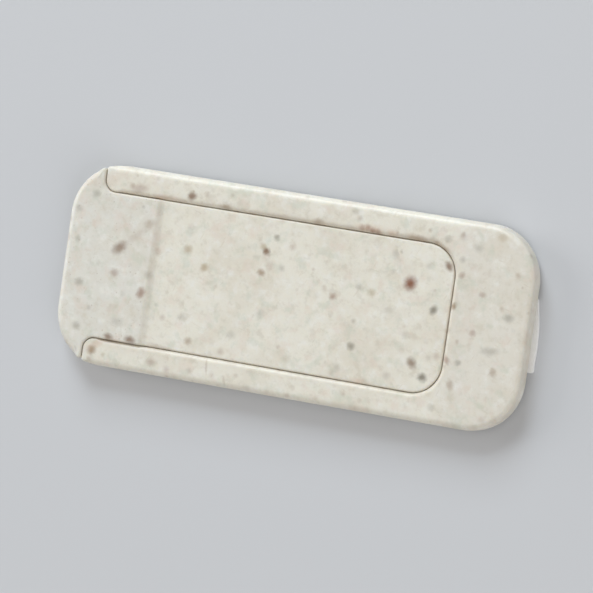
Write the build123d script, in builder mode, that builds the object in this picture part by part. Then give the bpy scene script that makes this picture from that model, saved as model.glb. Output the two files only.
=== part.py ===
"""Webcam cover slider: a straw-filled plastic frame, a slide that runs in its rails, and tape pads.

It lies on its adhesive back. X runs along the rails, Y across them, and Z out of the front face.
The origin is on the back of the tape, under the middle of the frame. All sizes are in millimetres.
The slide is shut, and it opens towards the left, which is -X.
"""

import os

from build123d import *

# Outline that the frame and the slide's head share
frame_length = 42.0
frame_height = 17.0
corner_radius = 4.5
edge_radius = 0.6
back_chamfer = 0.15

# Floor, rails and end block of the frame
floor_thickness = 0.5
rail_width = 2.3
end_block_length = 6.9
channel_corner_radius = 2.6
rail_setback = 2.9
tip_inner_radius = 1.0
lip_edge_radius = 0.4

# Groove under the lips that hold the slide
lip_thickness = 0.6
groove_depth = 0.8

# Camera window through the floor, beside the end block
window_length = 7.2
window_height = 9.4
window_corner_radius = 1.8
window_ledge = 1.0

# Slide: flanges, sunk panel and raised head
flange_thickness = 0.5
panel_recess = 0.15
head_length = 8.6
head_rise = 0.1
ramp_length = 0.7
ramp_radius = 0.6
slide_edge_radius = 0.25

# Running fit of the slide in the frame
side_clearance = 0.05
tip_clearance = 0.06
height_clearance = 0.05

# Stop nib on the floor, and the blind slot over it in the slide's back
nib_radius = 0.8
nib_height = 0.3
nib_edge_radius = 0.12
nib_inset = 13.0
slot_clearance = 0.1
window_overrun = 0.3

# Foam tape on the back, on both sides of the window
tape_thickness = 0.3
tape_width = 6.1
tape_corner_radius = 0.2
tape_overhang = 0.45
tape_margin = 1.5
tape_window_gap = 1.0

# Levels, from the tape to the front
floor_back = tape_thickness
floor_front = floor_back + floor_thickness
slide_back = floor_front + height_clearance
flange_front = slide_back + flange_thickness
lip_back = flange_front + height_clearance
rail_front = lip_back + lip_thickness
panel_front = rail_front - panel_recess
head_front = rail_front + head_rise

# Places along X
left_end = -frame_length / 2
right_end = frame_length / 2
rail_tip = left_end + rail_setback
cap_end = rail_tip - tip_clearance
ramp_foot = left_end + head_length
ramp_top = ramp_foot - ramp_length
channel_end = right_end - end_block_length
body_end = channel_end - side_clearance
flange_end = body_end + groove_depth
window_right = channel_end - window_ledge
window_left = window_right - window_length
nib_x = left_end + nib_inset

# Half widths across Y
channel_half = frame_height / 2 - rail_width
body_half = channel_half - side_clearance

# The flange clears the window when the slide is open
slide_travel = flange_end - window_left + window_overrun


def tongue(left, right, half_width, radius):
    """Sketch of a strip along X, with its two right-hand corners rounded."""
    with BuildSketch(mode=Mode.PRIVATE) as strip:
        with Locations(((left + right) / 2, 0)):
            Rectangle(right - left, 2 * half_width)
        fillet(strip.vertices().group_by(Axis.X)[-1], radius)
    return strip.sketch


# Frame: floor, U-shaped rim with undercut lips, camera window and stop nib
with BuildPart() as track_frame:
    with BuildSketch(Plane.XY.offset(floor_back)):
        RectangleRounded(frame_length, frame_height, corner_radius)
    extrude(amount=rail_front - floor_back)
    chamfer(track_frame.edges().group_by(Axis.Z)[0], back_chamfer)
    fillet(track_frame.edges().group_by(Axis.Z)[-1], edge_radius)

    with BuildSketch(Plane.XY.offset(floor_front)) as channel:
        add(tongue(left_end, channel_end, channel_half, channel_corner_radius))
        with Locations(((left_end + rail_tip) / 2, 0)):
            Rectangle(rail_setback, frame_height)
        tips = channel.vertices().group_by(Axis.X)[1].sort_by(Axis.Y)[1:3]
        fillet(tips, tip_inner_radius)
    extrude(amount=rail_front - floor_front, mode=Mode.SUBTRACT)
    # From this edge the round runs on along the rails and over their tips
    channel_top = track_frame.edges().group_by(Axis.Z)[-1].filter_by(Axis.Y).sort_by(Axis.X)[-2]
    fillet(channel_top, lip_edge_radius)

    with BuildSketch(Plane.XY.offset(floor_front)):
        add(tongue(
            left_end,
            channel_end + groove_depth,
            channel_half + groove_depth,
            channel_corner_radius + groove_depth,
        ))
    extrude(amount=lip_back - floor_front, mode=Mode.SUBTRACT)

    with BuildSketch(Plane.XY.offset(floor_back)):
        with Locations(((window_left + window_right) / 2, 0)):
            RectangleRounded(window_length, window_height, window_corner_radius)
    extrude(amount=floor_thickness, mode=Mode.SUBTRACT)

    with BuildSketch(Plane.XY.offset(floor_front)):
        with Locations((nib_x, 0)):
            Circle(nib_radius)
    extrude(amount=nib_height)
    nib_top = track_frame.edges(Select.LAST).filter_by(GeomType.CIRCLE).sort_by(Axis.Z)[-1]
    fillet(nib_top, nib_edge_radius)
track_frame.part.label = "track_frame"

# Slide: T-shaped cover with a raised head, a sunk panel, flanges and a stop slot
with BuildPart() as slide_cover:
    with BuildSketch(Plane.XY.offset(slide_back)):
        RectangleRounded(frame_length, frame_height, corner_radius)
    extrude(amount=head_front - slide_back)
    fillet(slide_cover.edges().group_by(Axis.Z)[-1], edge_radius)

    with BuildSketch(Plane.XY.offset(slide_back)) as waste:
        with Locations(((cap_end + right_end) / 2, 0)):
            Rectangle(right_end - cap_end, frame_height)
        add(tongue(cap_end, body_end, body_half, channel_corner_radius - side_clearance), mode=Mode.SUBTRACT)
        neck = waste.vertices().group_by(Axis.X)[0].sort_by(Axis.Y)[1:3]
        fillet(neck, tip_inner_radius + side_clearance)
    extrude(amount=head_front - slide_back, mode=Mode.SUBTRACT)
    # From this edge the round runs on along the body and over the cap's corners
    body_top = slide_cover.edges().group_by(Axis.Z)[-1].filter_by(Axis.Y).sort_by(Axis.X)[-1]
    fillet(body_top, slide_edge_radius)

    with BuildSketch(Plane.XZ) as recess:
        with BuildLine():
            Polyline(
                (left_end, head_front),
                (ramp_top, head_front),
                (ramp_foot, panel_front),
                (right_end, panel_front),
                (right_end, head_front + panel_recess),
                (left_end, head_front + panel_recess),
                close=True,
            )
        make_face()
        fillet(recess.vertices().sort_by(Axis.X)[2:4], ramp_radius)
    extrude(amount=frame_height / 2, both=True, mode=Mode.SUBTRACT)

    with BuildSketch(Plane.XY.offset(slide_back)):
        add(tongue(
            cap_end,
            flange_end,
            body_half + groove_depth,
            channel_corner_radius - side_clearance + groove_depth,
        ))
    extrude(amount=flange_thickness)

    with BuildSketch(Plane.XY.offset(slide_back)):
        with Locations((nib_x + slide_travel / 2, 0)):
            SlotCenterToCenter(slide_travel, 2 * (nib_radius + slot_clearance))
    extrude(amount=nib_height - height_clearance + slot_clearance, mode=Mode.SUBTRACT)
slide_cover.part.label = "slide_cover"


def tape_pad(left, right):
    """One strip of foam tape under the frame, from left to right along X."""
    with BuildPart() as pad:
        with BuildSketch():
            with Locations(((left + right) / 2, 0)):
                RectangleRounded(right - left, tape_width, tape_corner_radius)
        extrude(amount=tape_thickness)
    return pad


long_tape_pad = tape_pad(left_end + tape_margin, window_left - tape_window_gap)
long_tape_pad.part.label = "long_tape_pad"

short_tape_pad = tape_pad(window_right + tape_window_gap, right_end + tape_overhang)
short_tape_pad.part.label = "short_tape_pad"

os.makedirs("parts", exist_ok=True)
for piece in (track_frame, slide_cover, long_tape_pad, short_tape_pad):
    export_step(piece.part, f"parts/{piece.part.label}.step")
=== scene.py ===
"""Dresses a webcam cover slider: two straw-filled mouldings, two strips of foam tape and a small studio.

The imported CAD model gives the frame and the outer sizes. Sizes in this file are millimetres, with X along
the rails, Y across them and Z out of the front face. A mesh is turned into metres when it is made.
"""

import logging
import math
from collections.abc import Callable, Sequence
from dataclasses import dataclass
from enum import Enum, IntEnum

import bmesh
import bpy
import numpy as np
from mathutils import Matrix, Vector


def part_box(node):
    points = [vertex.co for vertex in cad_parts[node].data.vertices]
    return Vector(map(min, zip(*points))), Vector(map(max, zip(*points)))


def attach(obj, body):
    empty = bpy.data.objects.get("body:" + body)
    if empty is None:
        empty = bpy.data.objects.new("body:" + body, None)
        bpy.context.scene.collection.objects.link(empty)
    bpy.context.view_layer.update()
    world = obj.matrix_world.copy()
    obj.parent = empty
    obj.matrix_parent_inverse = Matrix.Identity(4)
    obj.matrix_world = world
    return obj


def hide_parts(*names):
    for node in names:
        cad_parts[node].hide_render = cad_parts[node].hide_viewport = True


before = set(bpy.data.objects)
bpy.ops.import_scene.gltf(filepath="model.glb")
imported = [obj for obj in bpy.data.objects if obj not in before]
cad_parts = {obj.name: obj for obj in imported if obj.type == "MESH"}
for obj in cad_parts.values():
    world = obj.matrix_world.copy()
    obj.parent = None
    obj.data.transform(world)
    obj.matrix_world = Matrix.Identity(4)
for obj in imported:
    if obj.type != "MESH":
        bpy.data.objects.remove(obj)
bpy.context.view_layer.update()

Pair = tuple[float, float]
Point = Pair
Colour = tuple[float, float, float]
Relief = Callable[[np.ndarray], np.ndarray]

LOG = logging.getLogger("webcam_cover")
MM = 0.001
# Points are welded where they round to the same multiple of this
WELD = 1e-5
# Points of a ring that gain less than this along X lie straight across
STALL = 1e-4
# How closely a lid's columns keep to its ring: the power of the share across
RING_HOLD = 8
SHARP_ANGLE = math.radians(35)
# Slow waves in a moulded face: radians in a millimetre along X and Y, and where each one starts
SINK_WAVES = ((0.61, 1.3, 0.4), (-0.37, 0.9, 2.1), (0.83, -0.45, 4.0))
# The mesh attribute that says how close a point is to a running gap
SEAM = "seam"


# Outlines and meshes


@dataclass(frozen=True)
class Line:
    """A straight stretch of an outline."""

    start: Point
    end: Point

    @property
    def length(self) -> float:
        """How long the stretch is."""
        return math.dist(self.start, self.end)

    def at(self, share: np.ndarray) -> tuple[np.ndarray, np.ndarray]:
        """Reads points at start + share * (end - start).

        Args:
            share: Where to read, from 0 to 1.

        Returns:
            The points, and the normals on the left of the way along.
        """
        way = np.subtract(self.end, self.start)
        points = self.start + share[:, None] * way
        normal = np.array((-way[1], way[0])) / self.length
        return points, np.broadcast_to(normal, points.shape)


@dataclass(frozen=True)
class Arc:
    """A round stretch of an outline. Angles are in degrees, and one that ends lower runs clockwise."""

    centre: Point
    radius: float
    start: float
    end: float

    @property
    def length(self) -> float:
        """How long the stretch is."""
        return self.radius * abs(math.radians(self.end - self.start))

    def at(self, share: np.ndarray) -> tuple[np.ndarray, np.ndarray]:
        """Reads points at centre + radius * (cos a, sin a), with the angle a that share of the way along.

        Args:
            share: Where to read, from 0 to 1.

        Returns:
            The points, and the normals on the left of the way along.
        """
        angle = np.radians(self.start + share * (self.end - self.start))
        spoke = np.stack((np.cos(angle), np.sin(angle)), axis=1)
        return self.centre + self.radius * spoke, math.copysign(1.0, self.start - self.end) * spoke


Stretch = Sequence[Line | Arc]


@dataclass(frozen=True)
class Trace:
    """Points along an outline, and the normals on the left of the way along it."""

    points: np.ndarray
    normals: np.ndarray

    def closed(self) -> "Trace":
        """The half outline and its mirror image in Y, back to front, so that the loop closes."""
        flip = np.array((1.0, -1.0))
        return Trace(*(np.concatenate((half, half[-2:0:-1] * flip)) for half in (self.points, self.normals)))

    def moved(self, out: float | np.ndarray) -> np.ndarray:
        """Points moved out along the normals by one distance, or by one for each point."""
        return self.points + np.reshape(out, (-1, 1)) * self.normals

    def row(self, height: float | np.ndarray, out: float | np.ndarray = 0.0) -> np.ndarray:
        """Points moved out along the normals and set at a height, or at one height for each."""
        flat = self.moved(out)
        return np.column_stack((flat, np.broadcast_to(height, len(flat))))


def sample(stretch: Stretch, shares: np.ndarray) -> Trace:
    """Reads points at shares of the whole length of lines and arcs that follow one another.

    Args:
        stretch: The lines and arcs, in order.
        shares: Where to read, from 0 at the start to 1 at the end.

    Returns:
        The points and their normals.
    """
    lengths = np.array([part.length for part in stretch])
    ends = np.cumsum(lengths)
    places = shares * ends[-1]
    owners = np.minimum(np.searchsorted(ends, places), len(stretch) - 1)
    points = np.empty((len(shares), 2))
    normals = np.empty((len(shares), 2))
    for number, part in enumerate(stretch):
        own = owners == number
        points[own], normals[own] = part.at((places[own] - ends[number] + lengths[number]) / lengths[number])
    return Trace(points, normals)


def half_loop(stretches: Sequence[Stretch], steps: Sequence[int]) -> Trace:
    """Joins stretches into half an outline, from its left end round to its right end.

    Args:
        stretches: The stretches, in order.
        steps: How many equal steps each stretch is cut into.

    Returns:
        The points and normals, with one point more than the steps add up to.
    """
    traces = [sample(stretch, np.arange(count) / count) for stretch, count in zip(stretches, steps)]
    traces.append(sample(stretches[-1], np.ones(1)))
    return Trace(
        np.concatenate([trace.points for trace in traces]),
        np.concatenate([trace.normals for trace in traces]),
    )


def lines(stops: Sequence[float], level: float) -> list[Stretch]:
    """Straight stretches along X at a level, from each stop to the next."""
    return [[Line((a, level), (b, level))] for a, b in zip(stops, stops[1:])]


def arcs(centre: Point, radius: float, start: float, end: float, count: int) -> list[Stretch]:
    """An arc, cut into that many equal stretches."""
    angles = np.linspace(start, end, count + 1)
    return [[Arc(centre, radius, a, b)] for a, b in zip(angles, angles[1:])]


def inner_run(stops: Sequence[float], level: float, centre_y: float) -> list[Stretch]:
    """Runs along X at a level, turns a round corner about the last stop and comes down to the middle line.

    Args:
        stops: Where each straight stretch starts, and the corner's centre along X.
        level: The straight stretches' Y.
        centre_y: The corner's centre along Y.

    Returns:
        The straight stretches, the corner and the right end.
    """
    radius = level - centre_y
    end = stops[-1] + radius
    corner = Arc((stops[-1], centre_y), radius, 90.0, 0.0)
    return [*lines(stops, level), [corner], [Line((end, centre_y), (end, 0.0))]]


def crossing(centre: Point, radius: float, x: float) -> tuple[float, float]:
    """Angle in degrees, and Y, at which the upper half of a circle passes a place along X."""
    angle = math.acos((x - centre[0]) / radius)
    return math.degrees(angle), centre[1] + radius * math.sin(angle)


def between(first: np.ndarray, last: np.ndarray, count: int) -> list[np.ndarray]:
    """That many rows first + share * (last - first), with even shares from 0 to 1."""
    return [first + share * (last - first) for share in np.linspace(0.0, 1.0, count)]


def edge_rows(loop: Trace, inward: float, radius: np.ndarray, front: Relief, steps: int) -> list[np.ndarray]:
    """Carries a quarter round along a loop, from the side wall up to the front face.

    At angle a the row lies radius * (1 - cos a) inside the loop and radius * (1 - sin a) below the front.

    Args:
        loop: The loop that the side wall stands on.
        inward: 1 where the loop's normals point into the material, and -1 where they point out of it.
        radius: The round's radius at each point of the loop.
        front: Gives the front face's height over points.
        steps: How many rows the round has, after the first.

    Returns:
        The rows, from the wall to the face.
    """
    rows = []
    for angle in np.linspace(0.0, math.pi / 2, steps + 1):
        flat = loop.moved(inward * radius * (1.0 - math.cos(angle)))
        rows.append(np.column_stack((flat, front(flat) - radius * (1.0 - math.sin(angle)))))
    return rows


def lid(ring: np.ndarray, end_steps: int, front: Relief) -> np.ndarray:
    """Fills a closed ring that is its own mirror image in Y with a grid, ruled from one side to the other.

    A point's Y is its column's half width times the share across. Its X is the column's own at the ring.
    Further in, the columns up to the last place where the ring runs straight across are evenly spread.

    Args:
        ring: The ring, from the middle of its left end round by +Y.
        end_steps: How many steps the ring has from the middle of an end to its corner.
        front: Gives the grid's height over points.

    Returns:
        The grid, with one column for each point along the ring's side.
    """
    half = len(ring) // 2 + 1
    side = ring[end_steps:half - end_steps]
    even = side[:, 0].copy()
    stalls = np.flatnonzero(np.diff(even) < STALL)
    spread = stalls[-1] + 2 if len(stalls) else 1
    even[:spread] = np.linspace(even[0], even[spread - 1], spread)
    across = np.linspace(-1.0, 1.0, 2 * end_steps + 1)
    x = even[:, None] + (side[:, 0] - even)[:, None] * np.abs(across) ** RING_HOLD
    y = side[:, 1][:, None] * across
    flat = np.stack((x, y), axis=-1)
    return np.dstack((flat, front(flat.reshape(-1, 2)).reshape(x.shape)))


def mean_wave(waves: Sequence[np.ndarray]) -> np.ndarray:
    """Mean of (1 + sin w) / 2 over some waves, which stays between 0 and 1."""
    return 0.5 + sum(np.sin(wave) for wave in waves) / (2 * len(waves))


def ripple(flat: np.ndarray) -> np.ndarray:
    """How far a moulded face sinks over points, from 0 to 1: the mean of slow waves that cross."""
    x, y = flat[:, 0], flat[:, 1]
    return mean_wave([along * x + across * y + start for along, across, start in SINK_WAVES])


def soft_step(value: np.ndarray) -> np.ndarray:
    """3 v^2 - 2 v^3 for a value held between 0 and 1, which starts and ends level."""
    held = np.clip(value, 0.0, 1.0)
    return held * held * (3.0 - 2.0 * held)


def past(steps: Sequence[int], stretch: int, count: int | None = None) -> np.ndarray:
    """Tells which points of a closed loop lie past the start of a stretch, on its half and its mirror image.

    Args:
        steps: How many steps each stretch of the half loop is cut into.
        stretch: The number of the stretch.
        count: How many steps it takes to change over, or None for the whole stretch.

    Returns:
        0 up to the stretch, 1 after the change, and a soft step between them.
    """
    number = np.arange(sum(steps) + 1) - sum(steps[:stretch])
    half = soft_step(number / (count or steps[stretch]))
    return np.concatenate((half, half[-2:0:-1]))


class Skin:
    """Gathers grids of points and welds them into one closed mesh."""

    def __init__(self) -> None:
        """Starts with no points."""
        self._points: list[np.ndarray] = []
        self._seams: list[np.ndarray] = []
        self._quads: list[np.ndarray] = []
        self._count = 0

    def add(
        self,
        grid: np.ndarray,
        rings: bool = False,
        keep: np.ndarray | None = None,
        seam: np.ndarray | None = None,
    ) -> None:
        """Adds a grid's points and the quads between them.

        Args:
            grid: Points of shape (rows, columns, 3).
            rings: Whether each row closes on itself.
            keep: Which quads to keep, of shape (rows - 1, quads in a row), or None for all.
            seam: How close each point is to a running gap, from 0 to 1, or None for 0.
        """
        rows, columns = grid.shape[:2]
        number = np.arange(rows * columns).reshape(rows, columns) + self._count
        if rings:
            number = np.concatenate((number, number[:, :1]), axis=1)
        quads = np.stack((number[:-1, :-1], number[:-1, 1:], number[1:, 1:], number[1:, :-1]), axis=-1)
        self._quads.append((quads if keep is None else quads[keep]).reshape(-1, 4))
        self._points.append(grid.reshape(-1, 3))
        self._seams.append(np.zeros(rows * columns) if seam is None else seam.ravel())
        self._count += rows * columns

    def piece(self, name: str) -> bpy.types.Object:
        """Welds points that share a place, drops quads that close up and makes the object.

        Args:
            name: The object's name.

        Returns:
            The object, at the origin, with its faces turned outwards.
        """
        points = np.concatenate(self._points)
        seams = np.concatenate(self._seams)
        keys = np.round(points / WELD).astype(np.int64)
        _, first, owner = np.unique(keys, axis=0, return_index=True, return_inverse=True)
        owner = owner.reshape(-1)
        quads = owner[np.concatenate(self._quads)]
        repeats = quads == np.roll(quads, -1, axis=1)
        folded = (quads[:, 0] == quads[:, 2]) | (quads[:, 1] == quads[:, 3])
        whole = quads[~repeats.any(axis=1) & ~folded]
        closing = (repeats.sum(axis=1) == 1) & ~folded
        threes = quads[closing][~repeats[closing]].reshape(-1, 3)
        used, corners = np.unique(np.concatenate((whole.ravel(), threes.ravel())), return_inverse=True)
        whole, threes = corners[:whole.size].reshape(-1, 4), corners[whole.size:].reshape(-1, 3)
        near = np.zeros(len(first))
        np.maximum.at(near, owner, seams)

        mesh = bpy.data.meshes.new(name)
        mesh.from_pydata(points[first[used]] * MM, [], whole.tolist() + threes.tolist())
        mesh.attributes.new(SEAM, "FLOAT", "POINT").data.foreach_set("value", near[used])
        shell = bmesh.new()
        shell.from_mesh(mesh)
        bmesh.ops.recalc_face_normals(shell, faces=shell.faces)
        shell.to_mesh(mesh)
        shell.free()
        mesh.shade_smooth()
        mesh.set_sharp_from_angle(angle=SHARP_ANGLE)
        piece = bpy.data.objects.new(name, mesh)
        bpy.context.scene.collection.objects.link(piece)
        return piece


@dataclass(frozen=True)
class Berth:
    """Where a piece belongs: the CAD node it stands for, the body it rides on and its material slot, which is
    not used.
    """

    node: str
    body: str
    slot: str

    def box(self) -> tuple[np.ndarray, np.ndarray]:
        """Lowest and highest corner of the CAD node."""
        low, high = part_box(self.node)
        return np.array(low) / MM, np.array(high) / MM

    def settle(self, piece: bpy.types.Object, finish: bpy.types.Material) -> None:
        """Lets a piece ride in place of the CAD node, and reports it.

        Args:
            piece: The finished piece.
            finish: The piece's material.
        """
        piece.data.materials.append(finish)
        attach(piece, self.body)
        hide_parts(self.node)
        LOG.info("%s: %d faces on %s", piece.name, len(piece.data.polygons), self.body)


# Shader maths


class Socket:
    """Wraps a node's output, so that shader maths on values reads as a Python expression."""

    def __init__(self, shader: "Shader", link: bpy.types.NodeSocket) -> None:
        """Keeps the output and the shader that its node is in."""
        self.shader = shader
        self.link = link

    def _math(self, operation: str, first: "Value", second: "Value") -> "Socket":
        """Adds a Math node."""
        return self.shader.add("ShaderNodeMath", {"operation": operation}, {0: first, 1: second})

    def __add__(self, other: "Value") -> "Socket":
        """self + other"""
        return self._math("ADD", self, other)

    def __radd__(self, other: "Value") -> "Socket":
        """other + self"""
        return self._math("ADD", other, self)

    def __sub__(self, other: "Value") -> "Socket":
        """self - other"""
        return self._math("SUBTRACT", self, other)

    def __rsub__(self, other: "Value") -> "Socket":
        """other - self"""
        return self._math("SUBTRACT", other, self)

    def __mul__(self, other: "Value") -> "Socket":
        """self * other"""
        return self._math("MULTIPLY", self, other)

    def __rmul__(self, other: "Value") -> "Socket":
        """other * self"""
        return self._math("MULTIPLY", other, self)

    def __gt__(self, other: "Value") -> "Socket":
        """1 where self > other, and 0 elsewhere"""
        return self._math("GREATER_THAN", self, other)

    def __or__(self, other: "Value") -> "Socket":
        """The larger of the two, so that masks join"""
        return self._math("MAXIMUM", self, other)

    def __ror__(self, other: "Value") -> "Socket":
        """The larger of the two, with the other one first"""
        return self._math("MAXIMUM", other, self)


Value = Socket | float
Setting = str | float | bool


@dataclass(frozen=True)
class Waver:
    """How noise pushes coordinates about: its waves in a millimetre, and twice the furthest push."""

    scale: float
    reach: float


class Shader:
    """The node tree of a material or a world, with the few ways in which this file adds nodes to it."""

    def __init__(self, owner: bpy.types.Material | bpy.types.World) -> None:
        """Empties the owner's node tree."""
        owner.use_nodes = True
        self.owner = owner
        self.tree = owner.node_tree
        self.tree.nodes.clear()

    def add(
        self,
        kind: str,
        settings: dict[str, Setting],
        inputs: dict[str | int, Value | Sequence[float]],
        output: str | int = 0,
    ) -> Socket:
        """Adds any node.

        Args:
            kind: The node's type.
            settings: The node's own properties, set first.
            inputs: Values or links by socket name or number.
            output: Which output to hand back.

        Returns:
            That output.
        """
        node = self.tree.nodes.new(kind)
        for name, setting in settings.items():
            setattr(node, name, setting)
        for name, value in inputs.items():
            if isinstance(value, Socket):
                self.tree.links.new(value.link, node.inputs[name])
            else:
                node.inputs[name].default_value = value
        return Socket(self, node.outputs[output])

    def sibling(self, socket: Socket, output: str) -> Socket:
        """Another output of the same node."""
        return Socket(self, socket.link.node.outputs[output])

    def place(self, offset: Sequence[float] = (0.0, 0.0, 0.0)) -> Socket:
        """Reads Object coordinates.

        Args:
            offset: How far the pattern is moved.

        Returns:
            The coordinates in millimetres.
        """
        metres = self.add("ShaderNodeTexCoord", {}, {}, "Object")
        scale = (1 / MM,) * 3
        return self.add("ShaderNodeMapping", {}, {"Vector": metres, "Location": offset, "Scale": scale})

    def turned(self, place: Socket, degrees: float, scale: Sequence[float] = (1.0, 1.0, 1.0)) -> Socket:
        """Turns coordinates about Z, and then stretches them.

        Args:
            place: Coordinates in millimetres.
            degrees: The turn.
            scale: The stretch along each axis.

        Returns:
            The turned and stretched coordinates.
        """
        spin = (0.0, 0.0, math.radians(degrees))
        aligned = self.add("ShaderNodeMapping", {}, {"Vector": place, "Rotation": spin})
        return self.add("ShaderNodeMapping", {}, {"Vector": aligned, "Scale": scale})

    def noise(self, place: Socket, scale: float, detail: float = 2.0, rough: float = 0.5) -> Socket:
        """Noise from 0 to 1 with that many waves in a millimetre."""
        inputs = {"Vector": place, "Scale": scale, "Detail": detail, "Roughness": rough}
        return self.add("ShaderNodeTexNoise", {}, inputs)

    def wandering(self, place: Socket, waver: Waver) -> Socket:
        """Pushes coordinates about with noise.

        Args:
            place: Coordinates in millimetres.
            waver: The noise.

        Returns:
            The coordinates, moved by up to half the reach.
        """
        push = self.sibling(self.noise(place, waver.scale), "Color")
        grey = (0.5, 0.5, 0.5)
        centred = self.add("ShaderNodeVectorMath", {"operation": "SUBTRACT"}, {0: push, 1: grey})
        scaled = self.add("ShaderNodeVectorMath", {"operation": "SCALE"}, {0: centred, "Scale": waver.reach})
        return self.add("ShaderNodeVectorMath", {"operation": "ADD"}, {0: place, 1: scaled})

    def spots(self, place: Socket, cells: float, sizes: Pair, core: float, share: float) -> Socket:
        """Masks round spots: one in a share of the cells of a cell pattern, each of its own size.

        Args:
            place: Coordinates in millimetres.
            cells: How many cells there are in a millimetre.
            sizes: The smallest and the largest radius, in cells.
            core: The share of a spot's radius that is solid.
            share: The share of the cells that hold a spot.

        Returns:
            The mask, from 0 to 1.
        """
        distance = self.add("ShaderNodeTexVoronoi", {}, {"Vector": place, "Scale": cells}, "Distance")
        tint = self.sibling(distance, "Color")
        drawn = self.add("ShaderNodeSeparateColor", {}, {"Color": tint}, "Green")
        size = sizes[0] + (sizes[1] - sizes[0]) * drawn
        return self.ramp(distance, size, core * size) * (self.sibling(drawn, "Blue") > 1.0 - share)

    def ramp(self, value: Socket, low: Value, high: Value) -> Socket:
        """0 at low and 1 at high, with a soft step between them. Low may lie above high."""
        return self.add(
            "ShaderNodeMapRange",
            {"interpolation_type": "SMOOTHSTEP"},
            {"Value": value, "From Min": low, "From Max": high},
        )

    def blend(self, share: Value, first: Socket | Colour, second: Socket | Colour) -> Socket:
        """Mixes two colours.

        Args:
            share: How much of the second colour there is.
            first: The colour to start from.
            second: The colour to mix in.

        Returns:
            The mixed colour.
        """
        colours = [(*c, 1.0) if isinstance(c, tuple) else c for c in (first, second)]
        inputs = {0: share, 6: colours[0], 7: colours[1]}
        return self.add("ShaderNodeMix", {"data_type": "RGBA"}, inputs, 2)

    def bump(self, height: Socket) -> Socket:
        """A normal from a height in millimetres."""
        return self.add("ShaderNodeBump", {}, {"Height": height, "Strength": 1.0, "Distance": MM}, "Normal")

    def surface(self, inputs: dict[str, Value | Sequence[float]]) -> bpy.types.Material:
        """Adds the Principled shader with those inputs, and finishes the material."""
        self.finish("ShaderNodeOutputMaterial", self.add("ShaderNodeBsdfPrincipled", {}, inputs))
        return self.owner

    def finish(self, output: str, surface: Socket) -> None:
        """Adds an output node of that type, and links the surface to it."""
        out = self.tree.nodes.new(output)
        self.tree.links.new(surface.link, out.inputs["Surface"])


# Finishes


class Tone(Enum):
    """Colours of the chips of husk and straw in the plastic."""

    HUSK = (0.19, 0.098, 0.05)
    PEAT = (0.145, 0.122, 0.082)
    RUST = (0.25, 0.11, 0.06)
    CLAY = (0.50, 0.25, 0.13)
    BRAN = (0.30, 0.192, 0.105)
    STRAW = (0.48, 0.39, 0.26)
    ASH = (0.30, 0.278, 0.222)


@dataclass(frozen=True)
class Fleck:
    """One chip that lies in a front face: its middle, its length and width, its turn and its colour."""

    x: float
    y: float
    length: float
    width: float
    turn: float = 0.0
    tone: Tone = Tone.BRAN
    strength: float = 0.8


@dataclass(frozen=True)
class Mottle:
    """A cloudy change of colour: the noise's scale and detail, and where in it the colour comes in."""

    colour: Colour
    share: float
    scale: float
    start: float
    full: float
    detail: float = 3.0


@dataclass(frozen=True)
class Specks:
    """Chips scattered by a cell pattern. Sunk ones have no solid core.

    Cells are counted in a millimetre, share is the share of them that hold a chip, radius is the largest
    chip's, and least is the smallest one's share of it. Turn sets one scatter apart from another.
    """

    tone: Tone
    strength: float
    cells: float
    share: float
    radius: float
    core: float = 0.45
    turn: float = 0.0
    least: float = 0.35


@dataclass(frozen=True)
class Fibres:
    """Thin fibres that lie a few ways: specks in coordinates that are bent, and stretched along each way.

    Widths are the thinnest and the thickest, in stretched cells. Matting is what they add to the roughness.
    """

    turns: Pair = (18.0, -64.0)
    tone: Tone = Tone.STRAW
    strength: float = 0.16
    height: float = 0.0012
    matting: float = 0.08
    bend: Waver = Waver(0.5, 0.7)
    stretch: tuple[float, float, float] = (0.42, 3.2, 3.2)
    widths: Pair = (0.10, 0.24)
    core: float = 0.4
    share: float = 0.20


@dataclass(frozen=True)
class PaintedEndShade:
    """Painted shade: a duller tone laid on one end of a piece, and where along X that starts and is full."""

    start: float
    full: float
    colour: Colour
    share: float = 0.3


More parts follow.
